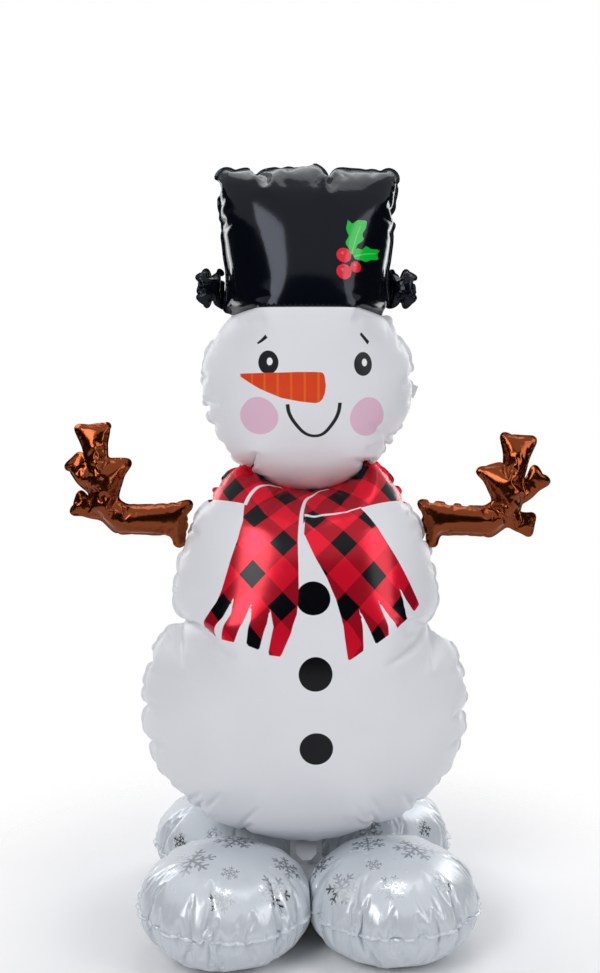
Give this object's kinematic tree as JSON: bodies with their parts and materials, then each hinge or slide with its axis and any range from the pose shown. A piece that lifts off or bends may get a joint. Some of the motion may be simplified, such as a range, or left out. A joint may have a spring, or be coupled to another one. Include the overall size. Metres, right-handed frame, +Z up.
{
  "type": "free-standing foil balloon snowman",
  "caption": "Free-standing air-filled foil snowman with a pear-shaped body, top hat and twig arms, on a base of round cushions.",
  "frame": {"origin": "on the floor under the middle of the four base cushions", "axes": "+Z up, the face and front towards -Y, left and right as the viewer sees them, so left is -X"},
  "size_m": [0.91, 0.586, 1.3929],
  "materials": {
    "white_film": "matte white film with printed face, scarf and buttons",
    "pearl_film": "pearl white metallised film, snowflake prints",
    "black_film": "glossy black metallised film",
    "copper_film": "shiny copper-brown metallised film",
    "clear_film": "thin milky film of valves and filling tail",
    "ballast_film": "film pouch of water"
  },
  "bodies": {
    "base": {"front_left_cushion_top_ply": "pearl_film", "front_left_cushion_bottom_ply": "pearl_film", "front_left_cushion_valve": "clear_film", "front_right_cushion_top_ply": "pearl_film", "front_right_cushion_bottom_ply": "pearl_film", "front_right_cushion_valve": "clear_film", "back_left_cushion_top_ply": "pearl_film", "back_left_cushion_bottom_ply": "pearl_film", "back_left_cushion_valve": "clear_film", "back_right_cushion_top_ply": "pearl_film", "back_right_cushion_bottom_ply": "pearl_film", "back_right_cushion_valve": "clear_film", "base_centre_web": "pearl_film", "ballast_bag": "ballast_film", "base_tie_strap": "pearl_film"},
    "figure": {"figure_tie_strap": "pearl_film", "body_front_ply": "white_film", "body_back_ply": "white_film", "body_valve": "clear_film"},
    "head": {"head_front_ply": "white_film", "head_back_ply": "white_film", "head_valve": "clear_film", "hat_front_ply": "black_film", "hat_back_ply": "black_film"},
    "fill_tail": {"body_fill_tail": "clear_film"},
    "left_arm": {"left_arm_front_ply": "copper_film", "left_arm_back_ply": "copper_film", "left_arm_valve": "clear_film"},
    "left_brim": {"left_brim_front_ply": "black_film", "left_brim_back_ply": "black_film"},
    "right_arm": {"right_arm_front_ply": "copper_film", "right_arm_back_ply": "copper_film", "right_arm_valve": "clear_film"},
    "right_brim": {"right_brim_front_ply": "black_film", "right_brim_back_ply": "black_film"}
  },
  "joints": [
    {"name": "figure_rock", "type": "hinge", "parent": "base", "child": "figure", "pos_m": [0, 0, 0.10867], "axis": [1, 0, 0], "range_deg": [-2, 2], "stiffness_Nm_per_rad": 30},
    {"name": "head_nod", "type": "hinge", "parent": "figure", "child": "head", "pos_m": [0, 0, 0.81138], "axis": [1, 0, 0], "range_deg": [-5, 5], "stiffness_Nm_per_rad": 5},
    {"name": "left_arm_sweep", "type": "hinge", "parent": "figure", "child": "left_arm", "pos_m": [-0.21923, 0, 0.73365], "axis": [0.4254, 0, 0.905], "range_deg": [-25, 30], "stiffness_Nm_per_rad": 0.4},
    {"name": "right_arm_sweep", "type": "hinge", "parent": "figure", "child": "right_arm", "pos_m": [0.21923, 0, 0.73365], "axis": [0.4254, 0, -0.905], "range_deg": [-25, 30], "stiffness_Nm_per_rad": 0.4},
    {"name": "left_brim_fold", "type": "hinge", "parent": "head", "child": "left_brim", "pos_m": [-0.15193, 0, 1.17141], "axis": [-0.0731, 0, 0.9973], "range_deg": [-24, 16], "stiffness_Nm_per_rad": 0.1},
    {"name": "right_brim_fold", "type": "hinge", "parent": "head", "child": "right_brim", "pos_m": [0.15193, 0, 1.17141], "axis": [-0.0731, 0, -0.9973], "range_deg": [-24, 16], "stiffness_Nm_per_rad": 0.1},
    {"name": "fill_tail_flap", "type": "hinge", "parent": "figure", "child": "fill_tail", "pos_m": [0, -0.00195, 0.13588], "axis": [1, 0, 0], "range_deg": [-40, 18], "stiffness_Nm_per_rad": 0.02}
  ]
}
